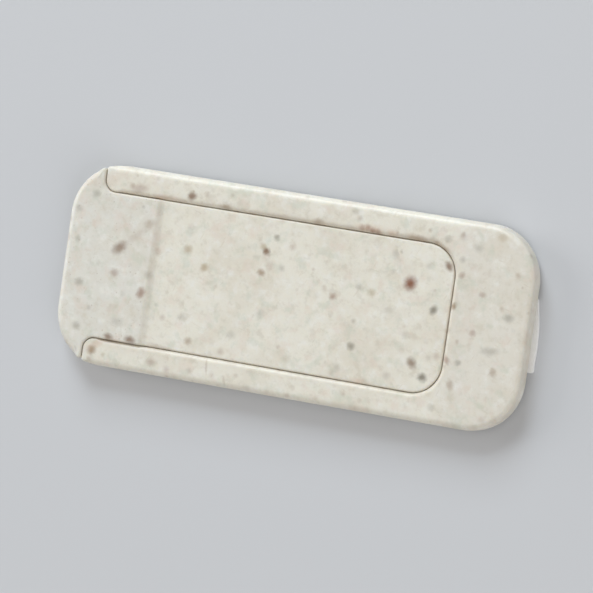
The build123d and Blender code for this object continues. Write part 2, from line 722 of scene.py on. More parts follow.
@dataclass(frozen=True)
class StrawPlastic:
    """Cream plastic filled with ground straw: a mottled ground, specks, fibres and larger chips.

    Offset moves the pattern, so that two pieces don't match, and front is the height at which the larger
    chips lie. Each of those fades from its core to its edge, counted in half sizes. Peel is the slow wave in
    the moulded skin, and grain is the fine one.
    """

    name: str
    offset: tuple[float, float, float]
    front: float
    flecks: tuple[Fleck, ...]
    # Painted shade that dulls one end of the piece
    painted_end_shade: PaintedEndShade
    cream: Colour = (0.799, 0.771, 0.680)
    mottles: tuple[Mottle, ...] = (
        Mottle((0.66, 0.60, 0.49), 0.40, 0.22, 0.42, 0.70),
        Mottle((0.84, 0.83, 0.78), 0.62, 0.90, 0.48, 0.72, 4.0),
        Mottle((0.62, 0.57, 0.47), 0.52, 0.90, 0.46, 0.28, 4.0),
        Mottle((0.72, 0.60, 0.51), 0.36, 0.62, 0.52, 0.70),
        Mottle((0.58, 0.61, 0.51), 0.44, 0.71, 0.52, 0.70),
        Mottle((0.58, 0.54, 0.45), 0.30, 1.70, 0.52, 0.72),
        Mottle((0.66, 0.60, 0.49), 0.14, 5.50, 0.45, 0.75),
    )
    sunk_specks: tuple[Specks, ...] = (
        Specks(Tone.RUST, 0.27, 0.42, 0.45, 0.60, 0.0),
        Specks(Tone.ASH, 0.40, 0.40, 0.45, 0.66, 0.0, 40.0),
        Specks(Tone.BRAN, 0.36, 0.75, 0.42, 0.42, 0.0, 75.0),
    )
    dust: Specks = Specks(Tone.BRAN, 0.26, 2.1, 0.22, 0.10)
    chips: Specks = Specks(Tone.BRAN, 0.50, 0.62, 0.40, 0.27, 0.20)
    chip_depth: float = 0.003
    speck_waver: Waver = Waver(6.0, 0.14)
    fibres: Fibres = Fibres()
    # Grime and painted shade along the running gaps, in patches and in an even share
    grime_and_shade: Mottle = Mottle((0.41, 0.295, 0.18), 0.42, 0.90, 0.42, 0.66, 4.0)
    even_grime_and_shade: float = 0.18
    fleck_waver: Waver = Waver(3.2, 0.26)
    fleck_depth: float = 1.2
    fleck_edge: float = 2.4
    fleck_core: float = 0.22
    noise_roughness: float = 0.6
    peel_scale: float = 0.8
    peel_height: float = 0.010
    grain_scale: float = 8.0
    grain_height: float = 0.0022
    grain_matting: float = 0.12
    roughness: float = 0.40
    glow: float = 0.2
    glow_colour: Colour = (1.0, 0.8, 0.5)
    glow_depth: float = 0.5

    def material(self) -> bpy.types.Material:
        """Makes the material.

        Returns:
            The material, with its pattern in Object coordinates.
        """
        shader = Shader(bpy.data.materials.new(self.name))
        place = shader.place(self.offset)
        first, second = (self.fibre_mask(shader, place, turn) for turn in self.fibres.turns)
        fibres = first | second
        chips = self.speck_mask(shader, place, self.chips)
        colour = self.ground(shader, place)
        colour = shader.blend(self.fibres.strength * fibres, colour, self.fibres.tone.value)
        dust = self.dust.strength * self.speck_mask(shader, place, self.dust)
        colour = shader.blend(dust, colour, self.dust.tone.value)
        colour = shader.blend(self.chips.strength * chips, colour, self.chips.tone.value)
        colour = self.grimed_and_shaded(shader, place, colour)
        colour = self.flecked(shader, colour)

        peel = shader.noise(place, self.peel_scale)
        grain = shader.noise(place, self.grain_scale, rough=self.noise_roughness)
        height = self.peel_height * peel + self.grain_height * grain
        height = height + self.fibres.height * fibres - self.chip_depth * chips
        return shader.surface({
            "Base Color": colour,
            "Roughness": self.roughness + self.grain_matting * (grain - 0.5) + self.fibres.matting * fibres,
            "Normal": shader.bump(height),
            "Subsurface Weight": self.glow,
            "Subsurface Radius": self.glow_colour,
            "Subsurface Scale": self.glow_depth * MM,
        })

    def ground(self, shader: Shader, place: Socket) -> Socket:
        """Colours the plastic under its chips: cream, with painted shade dulling one end, mottled, with sunk
        specks.

        Args:
            shader: The shader to add nodes to.
            place: Coordinates in millimetres.

        Returns:
            The colour.
        """
        along = shader.add("ShaderNodeSeparateXYZ", {}, {0: shader.place()}, "X")
        # Painted shade: a duller tone towards one end
        end_shade_share = self.painted_end_shade.share * shader.ramp(along, self.painted_end_shade.start, self.painted_end_shade.full)
        colour = shader.blend(end_shade_share, self.cream, self.painted_end_shade.colour)
        for mottle in self.mottles:
            cloud = shader.noise(place, mottle.scale, mottle.detail, self.noise_roughness)
            share = mottle.share * shader.ramp(cloud, mottle.start, mottle.full)
            colour = shader.blend(share, colour, mottle.colour)
        for specks in self.sunk_specks:
            share = specks.strength * self.speck_mask(shader, place, specks)
            colour = shader.blend(share, colour, specks.tone.value)
        return colour

    def grimed_and_shaded(self, shader: Shader, place: Socket, colour: Socket) -> Socket:
        """Lays grime and painted shade along the running gaps, some of it even and some in patches.

        Args:
            shader: The shader to add nodes to.
            place: Coordinates in millimetres.
            colour: The colour before the grime and painted shade.

        Returns:
            The colour with the grime and painted shade.
        """
        near = shader.add("ShaderNodeAttribute", {"attribute_name": SEAM}, {}, "Fac")
        cloud = shader.noise(place, self.grime_and_shade.scale, self.grime_and_shade.detail)
        patches = shader.ramp(cloud, self.grime_and_shade.start, self.grime_and_shade.full)
        return shader.blend(near * (self.even_grime_and_shade + self.grime_and_shade.share * patches), colour, self.grime_and_shade.colour)

    def flecked(self, shader: Shader, colour: Socket) -> Socket:
        """Lays the larger chips over a colour, one tone after another.

        Args:
            shader: The shader to add nodes to.
            colour: The colour under the chips.

        Returns:
            The colour with the chips.
        """
        wavy = shader.wandering(shader.place(), self.fleck_waver)
        for tone in Tone:
            mask: Value = 0.0
            for fleck in (fleck for fleck in self.flecks if fleck.tone is tone):
                mask = mask | fleck.strength * self.fleck_mask(shader, wavy, fleck)
            colour = shader.blend(mask, colour, tone.value)
        return colour

    def speck_mask(self, shader: Shader, place: Socket, specks: Specks) -> Socket:
        """Masks specks with ragged edges.

        Args:
            shader: The shader to add nodes to.
            place: Coordinates in millimetres.
            specks: How they are scattered.

        Returns:
            The mask, from 0 to 1.
        """
        spun = shader.turned(place, specks.turn) if specks.turn else place
        ragged = shader.wandering(spun, self.speck_waver)
        largest = specks.radius * specks.cells
        sizes = (specks.least * largest, largest)
        return shader.spots(ragged, specks.cells, sizes, specks.core, specks.share)

    def fibre_mask(self, shader: Shader, place: Socket, degrees: float) -> Socket:
        """Masks the fibres that lie one way.

        Args:
            shader: The shader to add nodes to.
            place: Coordinates in millimetres.
            degrees: The way they lie, from X.

        Returns:
            The mask, from 0 to 1.
        """
        bent = shader.wandering(place, self.fibres.bend)
        lengthwise = shader.turned(bent, degrees, self.fibres.stretch)
        return shader.spots(lengthwise, 1.0, self.fibres.widths, self.fibres.core, self.fibres.share)

    def fleck_mask(self, shader: Shader, place: Socket, fleck: Fleck) -> Socket:
        """Masks one larger chip: an ellipsoid that lies in the front face, with a soft edge.

        Args:
            shader: The shader to add nodes to.
            place: Coordinates in millimetres.
            fleck: The chip.

        Returns:
            The mask, from 0 to 1.
        """
        inputs = {
            "Vector": place,
            "Location": (fleck.x, fleck.y, self.front),
            "Rotation": (0.0, 0.0, math.radians(fleck.turn)),
            "Scale": (fleck.length / 2, fleck.width / 2, self.fleck_depth),
        }
        centred = shader.add("ShaderNodeMapping", {"vector_type": "TEXTURE"}, inputs)
        distance = shader.add("ShaderNodeVectorMath", {"operation": "LENGTH"}, {0: centred}, "Value")
        return shader.ramp(distance, self.fleck_edge, self.fleck_core)


@dataclass(frozen=True)
class FoamTape:
    """Pale foam tape with open pores darkened by painted shade, and a little dust in clouds. A pore's edge
    and core are in cells.
    """

    name: str = "foam_tape"
    foam: Colour = (0.93, 0.93, 0.92)
    dust: Mottle = Mottle((0.80, 0.80, 0.79), 0.25, 1.4, 0.45, 0.75)
    dust_height: float = 0.004
    dust_gloss: float = 0.1
    pore_waver: Waver = Waver(5.0, 0.1)
    pore_cells: float = 7.0
    pore_edge: float = 0.32
    pore_core: float = 0.12
    pore_shade: float = 0.55
    pore_depth: float = 0.012
    roughness: float = 0.85

    def material(self) -> bpy.types.Material:
        """Makes the material, in which dust and the painted shade in the pores take the same darker colour.

        Returns:
            The material, with its pattern in Object coordinates.
        """
        shader = Shader(bpy.data.materials.new(self.name))
        place = shader.place()
        wavy = shader.wandering(place, self.pore_waver)
        cells = shader.add("ShaderNodeTexVoronoi", {}, {"Vector": wavy, "Scale": self.pore_cells}, "Distance")
        pores = shader.ramp(cells, self.pore_edge, self.pore_core)
        cloud = shader.noise(place, self.dust.scale, self.dust.detail)
        dusty = shader.ramp(cloud, self.dust.start, self.dust.full)
        # Painted shade in the pores, and dust, darken the foam
        darker = self.pore_shade * pores + self.dust.share * dusty
        return shader.surface({
            "Base Color": shader.blend(darker, self.foam, self.dust.colour),
            "Roughness": self.roughness - self.dust_gloss * cloud,
            "Normal": shader.bump(self.dust_height * cloud - self.pore_depth * pores),
        })


@dataclass(frozen=True)
class PaleFloor:
    """The plain floor."""

    name: str = "pale_floor"
    colour: Colour = (0.60, 0.61, 0.63)
    roughness: float = 0.7

    def material(self) -> bpy.types.Material:
        """Makes the material."""
        shader = Shader(bpy.data.materials.new(self.name))
        return shader.surface({"Base Color": (*self.colour, 1.0), "Roughness": self.roughness})


# The object's pieces


class FrameRun(IntEnum):
    """Stretches of the frame's loops, from the middle of the left end round to that of the right end."""

    LEFT_END = 0
    TIP = 1
    SHOULDER = 2
    RAIL = 3
    RIGHT_CORNER = 4
    RIGHT_END = 5


@dataclass(frozen=True)
class FrameLoops:
    """Closed loops of the frame, matched point by point round the camera window."""

    outline: Trace
    rim: Trace
    channel: Trace
    groove: Trace
    tongue: Trace
    window: Trace


@dataclass(frozen=True)
class TrackFrame:
    """The moulded frame: a floor with a camera window, and a U-shaped rim with undercut rails.

    Shoulder is the stretch past a rail's tip over which its edges grow to their full round. The stain fields
    set the grime and painted shade at the front's inner edge and how far it fades; sink is the depth of its
    ripple.
    A face_crowding below 1 draws the front's rows towards its inner edge. Floor_inset is how far the tongue
    lies inside the outline.
    """

    berth: Berth
    corner_radius: float = 4.5
    outer_edge_radius: float = 0.6
    end_edge_radius: float = 0.35
    tip_edge_radius: float = 0.2
    inner_edge_radius: float = 0.45
    back_chamfer: float = 0.15
    floor_thickness: float = 0.5
    rail_width: float = 2.3
    end_block_length: float = 6.9
    channel_corner_radius: float = 2.6
    rail_setback: float = 2.9
    tip_inner_radius: float = 1.0
    tip_outer_radius: float = 0.22
    shoulder: float = 0.9
    lip_thickness: float = 0.6
    groove_depth: float = 0.8
    window_length: float = 7.2
    window_height: float = 9.4
    window_corner_radius: float = 1.8
    window_ledge: float = 1.0
    nib_radius: float = 0.8
    nib_height: float = 0.3
    nib_edge_radius: float = 0.12
    nib_inset: float = 13.0
    nib_sides: int = 48
    nib_rows: int = 7
    floor_inset: float = 1.2
    # Grime and painted shade at the front's inner edge, and how far it fades
    stain_and_shade: float = 0.25
    stain_and_shade_reach: float = 0.4
    sink: float = 0.012
    edge_steps: int = 9
    back_rows: int = 5
    floor_rows: int = 6
    face_rows: int = 16
    face_crowding: float = 0.5
    steps: tuple[int, ...] = (40, 28, 12, 142, 36, 24)

    def loops(self) -> FrameLoops:
        """Traces the six loops, each in the stretches that FrameRun names.

        To the left of the tip there is no rim, and the rim's loops lie on the outline there. Through the tip
        they leave one point in the middle of its end face, outwards and inwards. The tongue lies on the
        floor, between the groove and the window, so that no face of the floor runs into a rail.

        Returns:
            The closed loops.
        """
        low, high = self.berth.box()
        left, right, half = low[0], high[0], high[1]
        radius, tip = self.corner_radius, left + self.rail_setback
        turn_left, turn_right, turn_y = left + radius, right - radius, half - radius
        corner = (turn_left, turn_y)
        inner, inner_end = half - self.rail_width, right - self.end_block_length
        bend_x, bend_y = inner_end - self.channel_corner_radius, inner - self.channel_corner_radius

        round_x = tip + self.tip_outer_radius
        meet, round_y = crossing(corner, radius - self.tip_outer_radius, round_x)
        face, _ = crossing(corner, radius, tip)
        ease = meet - math.degrees(self.shoulder / radius)
        lip_x, lip_y = tip + self.tip_inner_radius, inner + self.tip_inner_radius
        middle = (tip, (lip_y + round_y) / 2)
        stops = (lip_x, lip_x + self.shoulder, bend_x)

        start = [Line((left, 0.0), (left, turn_y)), Arc(corner, radius, 180.0, face)]
        outer_run = [
            [Arc(corner, radius, meet, ease)],
            [Arc(corner, radius, ease, 90.0), Line((turn_left, half), (turn_right, half))],
            [Arc((turn_right, turn_y), radius, 90.0, 0.0)],
            [Line((right, turn_y), (right, 0.0))],
        ]
        outline = [start, [Arc(corner, radius, face, meet)], *outer_run]
        tip_round = Arc((round_x, round_y), self.tip_outer_radius, 180.0, meet)
        rim = [start, [Line(middle, (tip, round_y)), tip_round], *outer_run]
        lip_round = Arc((lip_x, lip_y), self.tip_inner_radius, 180.0, 270.0)
        channel = [start, [Line(middle, (tip, lip_y)), lip_round], *inner_run(stops, inner, bend_y)]
        wall = inner + self.groove_depth
        wall_tip = [Line(middle, (tip, wall)), Line((tip, wall), (lip_x, wall))]
        groove = [start, wall_tip, *inner_run(stops, wall, bend_y)]

        inset, tongue_x = radius - self.floor_inset, tip - (middle[1] - wall)
        lean, level = crossing(corner, inset, tongue_x)
        tongue_end = Line((turn_left - inset, 0.0), (turn_left - inset, turn_y))
        tongue = [
            [tongue_end, Arc(corner, inset, 180.0, lean)],
            *lines((tongue_x, lip_x), level),
            *inner_run(stops, level, bend_y),
        ]
        bow, pane_half = self.window_corner_radius, self.window_height / 2
        pane_right = inner_end - self.window_ledge
        pane_left = pane_right - self.window_length
        bow_left, bow_right, bow_y = pane_left + bow, pane_right - bow, pane_half - bow
        window = [
            [Line((pane_left, 0.0), (pane_left, bow_y))],
            *arcs((bow_left, bow_y), bow, 180.0, 90.0, FrameRun.RAIL - FrameRun.TIP),
            *inner_run((bow_left, bow_right), pane_half, bow_y),
        ]
        drawn = (outline, rim, channel, groove, tongue, window)
        return FrameLoops(*(half_loop(loop, self.steps).closed() for loop in drawn))

    def front(self, flat: np.ndarray) -> np.ndarray:
        """Height of the rim's front over points: level, with faint sinks."""
        _, high = self.berth.box()
        return high[2] - self.sink * ripple(flat)

    def build(self) -> bpy.types.Object:
        """Carries one closed section round the camera window, and stands the stop nib on the floor.

        The section runs out along the back, up the outer wall, over the rim, down the rail's inner side,
        under the lip, down the groove's wall and back along the floor to the window's edge.

        Returns:
            The frame's object.
        """
        loops = self.loops()
        low, high = self.berth.box()
        back = low[2]
        floor = back + self.floor_thickness
        lip = high[2] - self.lip_thickness
        outer_radius = self.edge_radius(self.outer_edge_radius, self.end_edge_radius)
        inner_radius = self.edge_radius(self.inner_edge_radius, self.inner_edge_radius)
        outer = edge_rows(loops.rim, -1.0, outer_radius, self.front, self.edge_steps)
        inner = edge_rows(loops.channel, 1.0, inner_radius, self.front, self.edge_steps)[::-1]

        window_back, back_edge = loops.window.row(back), loops.outline.row(back, -self.back_chamfer)
        rows = between(window_back, back_edge, self.back_rows)
        rows += [loops.outline.row(back + self.back_chamfer), loops.outline.row(floor)]
        first_rim = len(rows)
        rows += [loops.rim.row(floor), loops.rim.row(np.minimum(lip, outer[0][:, 2])), *outer]
        first_face = len(rows)
        for share in np.linspace(0.0, 1.0, self.face_rows)[1:-1] ** self.face_crowding:
            flat = (outer[-1] + share * (inner[0] - outer[-1]))[:, :2]
            rows.append(np.column_stack((flat, self.front(flat))))
        first_inner = len(rows)
        rows += [*inner, loops.channel.row(lip), loops.groove.row(lip), loops.groove.row(floor)]
        last_rim = len(rows) - 1
        rows += between(loops.tongue.row(floor), loops.window.row(floor), self.floor_rows)
        rows.append(window_back)

        grid = np.stack(rows)
        columns = grid.shape[1]
        left_end = self.steps[FrameRun.LEFT_END]
        no_rim = np.ones(columns, bool)
        no_rim[left_end:columns - left_end] = False
        keep = np.ones((len(rows) - 1, columns), bool)
        keep[first_rim:last_rim, no_rim] = False

        # Grime and painted shade: near the front's inner edge, growing to full down the inner walls into the
        # gap
        seam = np.zeros(grid.shape[:2])
        from_edge = np.linalg.norm(grid[first_face:first_inner] - inner[0], axis=2)
        seam[first_face:first_inner] = self.stain_and_shade * np.exp(-from_edge / self.stain_and_shade_reach)
        down = np.minimum(1.0, np.arange(last_rim + 1 - first_inner) / len(inner))
        seam[first_inner:last_rim + 1] = (self.stain_and_shade + (1.0 - self.stain_and_shade) * down)[:, None]
        skin = Skin()
        skin.add(grid, rings=True, keep=keep, seam=seam)
        skin.add(self.nib(floor), rings=True)
        return skin.piece("track_frame_moulding")

    def edge_radius(self, along: float, end: float) -> np.ndarray:
        """Gives the edge's radius round a loop: the tip's, then one along the rail and one at the right end.

        It changes in a soft step over the shoulder, and in another over the right corner.

        Args:
            along: The radius along the rail.
            end: The radius at the right end.

        Returns:
            The radius at each point of the loop.
        """
        tip = self.tip_edge_radius
        past_tip = past(self.steps, FrameRun.SHOULDER)
        past_rail = past(self.steps, FrameRun.RIGHT_CORNER)
        return tip + past_tip * (along - tip) + past_rail * (end - along)

    def nib(self, floor: float) -> np.ndarray:
        """Turns the stop nib's section about its axis: a foot in the floor, a wall, a round and a flat top.

        Args:
            floor: The floor's height.

        Returns:
            The grid, with one row for each point of the section.
        """
        low, _ = self.berth.box()
        angle = np.linspace(0.0, 2 * math.pi, self.nib_sides, endpoint=False)
        bend = np.linspace(0.0, math.pi / 2, self.nib_rows)
        edge = self.nib_edge_radius
        foot, top = floor - edge, floor + self.nib_height
        reach = np.concatenate(([0.0, self.nib_radius], self.nib_radius - edge + edge * np.cos(bend), [0.0]))
        rise = np.concatenate(([foot, foot], top - edge + edge * np.sin(bend), [top]))
        x = low[0] + self.nib_inset + reach[:, None] * np.cos(angle)
        y = reach[:, None] * np.sin(angle)
        return np.dstack((x, y, np.broadcast_to(rise[:, None], x.shape)))


class SlideRun(IntEnum):
    """Stretches of the slide's loops, from the middle of the left end round to that of the right end."""

    LEFT_END = 0
    CAP = 1
    SHOULDER = 2
    CAP_CORNER = 3
    NECK = 4
    HEAD = 5
    RAMP = 6
    PANEL = 7
    RIGHT_CORNER = 8
    RIGHT_END = 9


@dataclass(frozen=True)
class SlideCover:
    """The moulded slide: a T-shaped cover with a raised head, a sunk panel, flanges and a stop slot.

    The cap, the body, the ramp and the slot are placed from the left end. The crease fields set the grime and
    painted shade in the ramp's middle and how far it fades, and sink is the depth of the front's ripple.
    Back_edge is the chamfer round the back, and along the flanges' upper edge, where it comes in over
    ledge_ease steps.
    Back_inset is how far the tongue lies inside the outline.
    """

    berth: Berth
    outline_half: float
    corner_radius: float = 4.5
    cap_length: float = 2.87
    cap_corner_radius: float = 0.2
    shoulder: float = 0.7
    neck_radius: float = 1.025
    body_length: float = 35.075
    body_half: float = 6.175
    body_corner_radius: float = 2.575
    flange_width: float = 0.775
    flange_thickness: float = 0.5
    panel_drop: float = 0.25
    ramp_start: float = 7.9
    ramp_length: float = 0.7
    ramp_margin: float = 0.1
    # Grime and painted shade in the middle of the ramp, and how far it fades
    crease_grime_and_shade: float = 0.3
    crease_grime_and_shade_reach: float = 0.25
    cap_edge_radius: float = 0.6
    head_edge_radius: float = 0.18
    panel_edge_radius: float = 0.17
    back_edge: float = 0.06
    back_inset: float = 1.2
    slot_left: float = 13.0
    slot_travel: float = 9.25
    slot_half: float = 0.9
    slot_depth: float = 0.35
    sink: float = 0.012
    edge_steps: int = 9
    ledge_ease: int = 4
    steps: tuple[int, ...] = (20, 32, 12, 12, 16, 10, 30, 90, 26, 20)

    def loops(self) -> tuple[Trace, ...]:
        """Traces the loops, each in the stretches that SlideRun names.

        The tongue lies on the back, between the flange and the stop slot, so that no face of the back crosses
        the notch by the cap.

        Returns:
            The closed loops of the front, the flange, the tongue and the slot.
        """
        low, _ = self.berth.box()
        left, radius = low[0], self.corner_radius
        turn = (left + radius, self.outline_half - radius)
        cap = left + self.cap_length
        cap_x = cap - self.cap_corner_radius
        meet, cap_y = crossing(turn, radius - self.cap_corner_radius, cap_x)
        ease = meet + math.degrees(self.shoulder / radius)
        neck_x, neck_y = cap + self.neck_radius, self.body_half + self.neck_radius
        bend_x = left + self.body_length - self.body_corner_radius
        bend_y = self.body_half - self.body_corner_radius
        ramp, margin = left + self.ramp_start, self.ramp_margin
        stops = (neck_x, ramp - margin, ramp + self.ramp_length + margin, bend_x)
        wide = self.body_half + self.flange_width

        head = [
            [Line((left, 0.0), (left, turn[1]))],
            [Arc(turn, radius, 180.0, ease)],
            [Arc(turn, radius, ease, meet)],
            [Arc((cap_x, cap_y), self.cap_corner_radius, meet, 0.0)],
        ]
        neck = [Line((cap, cap_y), (cap, neck_y)), Arc((neck_x, neck_y), self.neck_radius, 180.0, 270.0)]
        front = [*head, neck, *inner_run(stops, self.body_half, bend_y)]
        notch = [Line((cap, cap_y), (cap, wide)), Line((cap, wide), (neck_x, wide))]
        flange = [*head, notch, *inner_run(stops, wide, bend_y)]

        inset, tongue_x = radius - self.back_inset, cap - (cap_y - wide)
        lean, level = crossing(turn, inset, tongue_x)
        tongue = [
            [Line((turn[0] - inset, 0.0), (turn[0] - inset, turn[1]))],
            *arcs(turn, inset, 180.0, lean, SlideRun.NECK - SlideRun.CAP),
            *lines((tongue_x, neck_x), level),
            *inner_run(stops, level, bend_y),
        ]
        slot_x, narrow = left + self.slot_left, self.slot_half
        slot_end = slot_x + self.slot_travel
        straight = np.linspace(slot_x, slot_end, SlideRun.RIGHT_CORNER - SlideRun.HEAD + 1)
        slot = [
            *arcs((slot_x, 0.0), narrow, 180.0, 90.0, SlideRun.HEAD),
            *lines(straight, narrow),
            *arcs((slot_end, 0.0), narrow, 90.0, 0.0, len(SlideRun) - SlideRun.RIGHT_CORNER),
        ]
        return tuple(half_loop(loop, self.steps).closed() for loop in (front, flange, tongue, slot))

    def headland(self, x: np.ndarray) -> np.ndarray:
        """1 on the head, 0 on the panel, and a soft step down the ramp between them."""
        low, _ = self.berth.box()
        return 1.0 - soft_step((x - low[0] - self.ramp_start) / self.ramp_length)

    def front(self, flat: np.ndarray) -> np.ndarray:
        """Gives the front's height over points: the panel, the head above it, and faint sinks.

        Args:
            flat: The points.

        Returns:
            The height at each point.
        """
        _, high = self.berth.box()
        drop = self.panel_drop * (1.0 - self.headland(flat[:, 0]))
        return high[2] - drop - self.sink * ripple(flat[:, ::-1])

    def edge_radius(self, flat: np.ndarray) -> np.ndarray:
        """Gives the edge's radius round the front: the outline's on the cap, the head's, and the panel's.

        Args:
            flat: The front's loop.

        Returns:
            The radius at each point of the loop.
        """
        cap = 1.0 - past(self.steps, SlideRun.SHOULDER)
        head = self.headland(flat[:, 0])
        along = self.panel_edge_radius + head * (self.head_edge_radius - self.panel_edge_radius)
        return along + cap * (self.cap_edge_radius - self.head_edge_radius)

    def build(self) -> bpy.types.Object:
        """Lofts the loops from the stop slot round the flanges to the front, and closes both ends.

        Returns:
            The slide's object.
        """
        front, flange, tongue, slot = self.loops()
        low, _ = self.berth.box()
        back = low[2]
        ledge = back + self.flange_thickness
        soft = self.back_edge * past(self.steps, SlideRun.NECK, self.ledge_ease)

        rows = [slot.row(back + self.slot_depth), slot.row(back), tongue.row(back)]
        rows += [flange.row(back, -self.back_edge), flange.row(back + self.back_edge)]
        rows += [flange.row(ledge - soft), flange.row(ledge, -soft), front.row(ledge)]
        first_edge = len(rows)
        rows += edge_rows(front, -1.0, self.edge_radius(front.points), self.front, self.edge_steps)
        # Grime and painted shade down the slide's edge, darkest at the foot of its side wall, none on the cap
        grime_and_shade = np.zeros(len(rows))
        grime_and_shade[first_edge - 1:] = np.linspace(1.0, 0.0, len(rows) - first_edge + 1)

        skin = Skin()
        skin.add(np.stack(rows), rings=True, seam=np.outer(grime_and_shade, past(self.steps, SlideRun.CAP_CORNER)))
        top = lid(rows[-1], self.steps[SlideRun.LEFT_END], self.front)
        # Grime and painted shade across the middle of the ramp
        from_crease = (top[..., 0] - low[0] - self.ramp_start - self.ramp_length / 2) / self.crease_grime_and_shade_reach
        skin.add(top, seam=self.crease_grime_and_shade * np.exp(-from_crease**2))
        ceiling = rows[0][:len(rows[0]) // 2 + 1]
        skin.add(np.stack((ceiling, ceiling * (1.0, -1.0, 1.0))))
        return skin.piece("slide_cover_moulding")


@dataclass(frozen=True)
class TapePad:
    """One hand-cut strip of foam tape under the frame.

    Skew is how much shorter the strip is at +Y, ragged is the furthest that its edges wander in, and waist is
    how far the foam is drawn in at half height. The powers keep the slant near +Y and the cut near the end.
    """

    berth: Berth
    skew: float = 0.0
    skew_power: float = 1.3
    end_power: float = 4.0
    ragged: float = 0.05
    end_waves: tuple[Pair, ...] = ((5.1, 0.7), (9.7, 2.0))
    side_waves: tuple[Pair, ...] = ((0.9, 1.0),)
    corner_radius: float = 0.2
    edge: float = 0.03
    waist: float = 0.03
    wall_rows: int = 9
    steps: tuple[int, ...] = (14, 6, 60, 6, 14)

    def cut(self, grid: np.ndarray) -> np.ndarray:
        """Shapes the strip as scissors leave it: a right end cut away on one side, and edges that wander.

        At the right end X is drawn in more and more towards +Y, and slow waves draw in both X and Y. A wave
        is a rate and a start, and the end's rates are over half the strip's width.

        Args:
            grid: Points of the straight strip.

        Returns:
            The points as cut.
        """
        low, high = self.berth.box()
        middle, reach = (low + high) / 2, (high - low) / 2
        x, y = (np.moveaxis(grid[..., :2], -1, 0) - middle[:2, None, None]) / reach[:2, None, None]
        slant = self.skew * np.clip(y, 0.0, 1.0) ** self.skew_power
        wave = mean_wave([rate * y + start for rate, start in self.end_waves])
        side_wave = mean_wave([rate * x * reach[0] + start for rate, start in self.side_waves])
        shaped = grid.copy()
        shaped[..., 0] -= np.clip(x, 0.0, 1.0) ** self.end_power * (slant + self.ragged * wave)
        shaped[..., 1] -= y * self.ragged * side_wave
        return shaped

    def build(self) -> bpy.types.Object:
        """Lofts the strip's edge, drawn in at half height as foam is, and closes it above and below.

        Returns:
            The strip's object.
        """
        low, high = self.berth.box()
        left, right, half, top = low[0], high[0], high[1], high[2]
        bow = self.corner_radius
        loop = half_loop(
            [
                [Line((left, 0.0), (left, half - bow))],
                [Arc((left + bow, half - bow), bow, 180.0, 90.0)],
                [Line((left + bow, half), (right - bow, half))],
                [Arc((right - bow, half - bow), bow, 90.0, 0.0)],
                [Line((right, half - bow), (right, 0.0))],
            ],
            self.steps,
        ).closed()
        rows = [loop.row(low[2], -self.edge)]
        rise = np.linspace(0.0, 1.0, self.wall_rows)
        heights = low[2] + self.edge + rise * (top - low[2] - 2 * self.edge)
        rows += [loop.row(height, -self.waist * math.sin(math.pi * r)) for height, r in zip(heights, rise)]
        rows.append(loop.row(top, -self.edge))
        skin = Skin()
        skin.add(self.cut(np.stack(rows)), rings=True)
        for ring, height in ((rows[0], low[2]), (rows[-1], top)):
            skin.add(self.cut(lid(ring, self.steps[0], lambda flat: np.full(len(flat), height))))
        return skin.piece(f"{self.berth.node}_strip")


# Studio


@dataclass(frozen=True)
class Lamp:
    """A square soft lamp. A level of 1 lights a face that looks at it to its written colour."""

    name: str
    towards: tuple[float, float, float]
    level: float
    size: float = 0.45
    distance: float = 0.9
    tint: Colour = (1.0, 1.0, 1.0)

    def hang(self) -> None:
        """Makes the lamp: its power is pi^2 * level * distance^2, and it looks at the object."""
        light = bpy.data.lights.new(self.name, "AREA")
        light.size = self.size
        light.color = self.tint
        light.energy = math.pi**2 * self.level * self.distance**2
        lamp = bpy.data.objects.new(self.name, light)
        way = Vector(self.towards).normalized()
        lamp.location = way * self.distance
        lamp.rotation_euler = way.to_track_quat("Z", "Y").to_euler()
        lamp.visible_camera = False
        bpy.context.scene.collection.objects.link(lamp)


